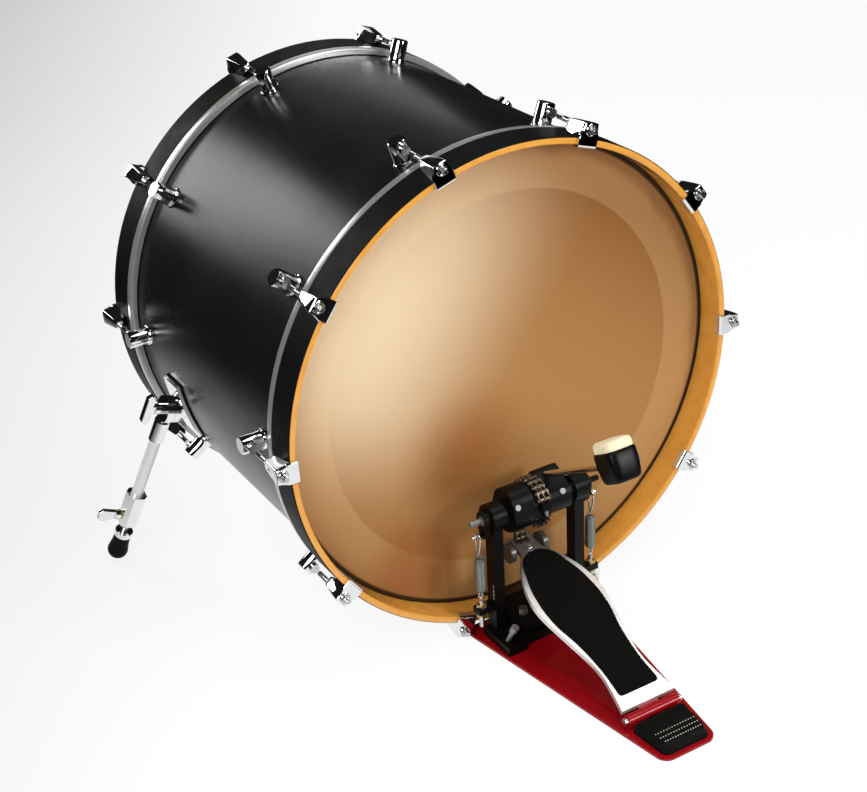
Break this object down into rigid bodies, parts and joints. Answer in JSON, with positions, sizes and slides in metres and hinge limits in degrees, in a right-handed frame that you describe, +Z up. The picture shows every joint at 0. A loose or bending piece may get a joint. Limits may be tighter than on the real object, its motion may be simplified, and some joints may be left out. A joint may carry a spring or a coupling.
{
  "type": "bass drum with batter head and kick pedal",
  "caption": "Bass drum with a tensioned batter head, wooden hoops on claws and rods, folding spurs and a chain-drive kick pedal clamped to the hoop.",
  "frame": {"origin": "middle of the bounding box, on the floor", "axes": "+Y along the drum's axis away from the player, +Z up, +X to the right of someone who looks along +Y at the batter head"},
  "size_m": [0.7682, 0.792, 0.5929],
  "materials": {
    "shell_black": "satin black wrap over a wooden shell",
    "hoop_maple": "orange maple lacquer inside and on the edge, black outside",
    "batter_film": "frosted translucent film",
    "damping_ring": "frosted film",
    "reso_film": "black film",
    "flesh_hoop": "bright rolled aluminium",
    "chrome": "polished chrome",
    "bright_steel": "bright plated steel",
    "leg_tube": "satin metal",
    "brass": "plain brass",
    "rubber_black": "matt black rubber",
    "pedal_red": "glossy deep red",
    "pedal_black": "satin black",
    "footboard_metal": "polished border",
    "chain_steel": "oiled brassy steel",
    "spring_steel": "dull zinc plate",
    "beater_plastic": "gloss black",
    "felt": "cream felt"
  },
  "bodies": {
    "drum": {"axle_bearings": "bright_steel", "base_plate": "pedal_red", "batter_film": "batter_film", "batter_flesh_hoop": "flesh_hoop", "batter_hoop": "hoop_maple", "clamp_bolt": "bright_steel", "clamp_jaw": "pedal_black", "claws": "chrome", "damping_ring": "damping_ring", "frame_bridge": "pedal_black", "heel_pad": "rubber_black", "hinge_pin": "bright_steel", "left_post": "pedal_black", "lug_nuts": "bright_steel", "lugs": "chrome", "reso_film": "reso_film", "reso_flesh_hoop": "flesh_hoop", "reso_hoop": "hoop_maple", "right_post": "pedal_black", "shell": "shell_black", "spur_brackets": "chrome", "spur_gaskets": "rubber_black", "tension_nuts": "brass", "tension_rods": "bright_steel", "tension_screws": "bright_steel"},
    "left_leg": {"left_spur_knuckle": "chrome", "left_leg_tube": "leg_tube", "left_clamp_block": "chrome", "left_clamp_washer": "brass"},
    "left_wing": {"left_wing_screw": "chrome"},
    "left_rod": {"left_leg_rod": "bright_steel", "left_foot_collar": "chrome", "left_spur_foot": "rubber_black"},
    "left_clamp": {"left_clamp_screw": "chrome"},
    "right_leg": {"right_spur_knuckle": "chrome", "right_leg_tube": "leg_tube", "right_clamp_block": "chrome", "right_clamp_washer": "brass"},
    "right_wing": {"right_wing_screw": "chrome"},
    "right_rod": {"right_leg_rod": "bright_steel", "right_foot_collar": "chrome", "right_spur_foot": "rubber_black"},
    "right_clamp": {"right_clamp_screw": "chrome"},
    "rotor": {"axle": "bright_steel", "rocker_hub": "pedal_black", "sprocket": "pedal_black", "rotor_screws": "bright_steel", "beater_hub": "pedal_black", "cranks": "pedal_black", "chain": "chain_steel"},
    "links": {"spring_links": "bright_steel", "springs": "spring_steel"},
    "beater": {"beater_shaft": "chrome", "beater_head": "beater_plastic", "beater_felt": "felt"},
    "board": {"footboard": "footboard_metal", "footboard_pad": "rubber_black", "footboard_hinge": "pedal_red", "toe_pins": "bright_steel"},
    "thumb": {"thumb_screw": "bright_steel"}
  },
  "joints": [
    {"name": "left_leg_fold", "type": "hinge", "parent": "drum", "child": "left_leg", "pos_m": [-0.29196, 0.242, 0.22491], "axis": [-0.9532, 0, 0.3024], "range_deg": [0, 100]},
    {"name": "left_wing_turn", "type": "hinge", "parent": "drum", "child": "left_wing", "pos_m": [-0.29196, 0.242, 0.22491], "axis": [-0.9532, 0, 0.3024], "range_deg": [-180, 180]},
    {"name": "left_rod_slide", "type": "slide", "parent": "left_leg", "child": "left_rod", "axis": [-0.2892, 0.2924, -0.9115], "range_m": [-0.012, 0.05]},
    {"name": "left_clamp_turn", "type": "hinge", "parent": "left_leg", "child": "left_clamp", "pos_m": [-0.34169, 0.29228, 0.06815], "axis": [-0.9532, 0, 0.3024], "range_deg": [-180, 180]},
    {"name": "right_leg_fold", "type": "hinge", "parent": "drum", "child": "right_leg", "pos_m": [0.29196, 0.242, 0.22491], "axis": [-0.9532, 0, -0.3024], "range_deg": [0, 100]},
    {"name": "right_wing_turn", "type": "hinge", "parent": "drum", "child": "right_wing", "pos_m": [0.29196, 0.242, 0.22491], "axis": [-0.9532, 0, -0.3024], "range_deg": [-180, 180]},
    {"name": "right_rod_slide", "type": "slide", "parent": "right_leg", "child": "right_rod", "axis": [0.2892, 0.2924, -0.9115], "range_m": [-0.012, 0.05]},
    {"name": "right_clamp_turn", "type": "hinge", "parent": "right_leg", "child": "right_clamp", "pos_m": [0.34169, 0.29228, 0.06815], "axis": [-0.9532, 0, -0.3024], "range_deg": [-180, 180]},
    {"name": "rotor_turn", "type": "hinge", "parent": "drum", "child": "rotor", "pos_m": [0, -0.1124, 0.166], "axis": [-1, 0, 0], "range_deg": [0, 59], "stiffness_Nm_per_rad": 0.6, "springref_deg": -34.38, "deforming": ["springs", "chain"]},
    {"name": "board_press", "type": "hinge", "parent": "drum", "child": "board", "pos_m": [0, -0.3294, 0.0106], "axis": [-1, 0, 0], "range_deg": [0, 6.8]},
    {"name": "link_swing", "type": "hinge", "parent": "rotor", "child": "links", "pos_m": [0, -0.1124, 0.148], "axis": [-1, 0, 0], "range_deg": [-69.2, 0]},
    {"name": "beater_slide", "type": "slide", "parent": "rotor", "child": "beater", "axis": [0, -0.866, 0.5], "range_m": [-0.012, 0.012]},
    {"name": "thumb_turn", "type": "hinge", "parent": "drum", "child": "thumb", "pos_m": [-0.061, -0.141, 0.014], "axis": [0.2259, -0.3584, 0.9058], "range_deg": [-180, 180]}
  ],
  "couplings": [
    {"joint": "board_press", "follows": "rotor_turn", "ratio": 0.11467},
    {"joint": "link_swing", "follows": "rotor_turn", "ratio": -1.1719}
  ]
}
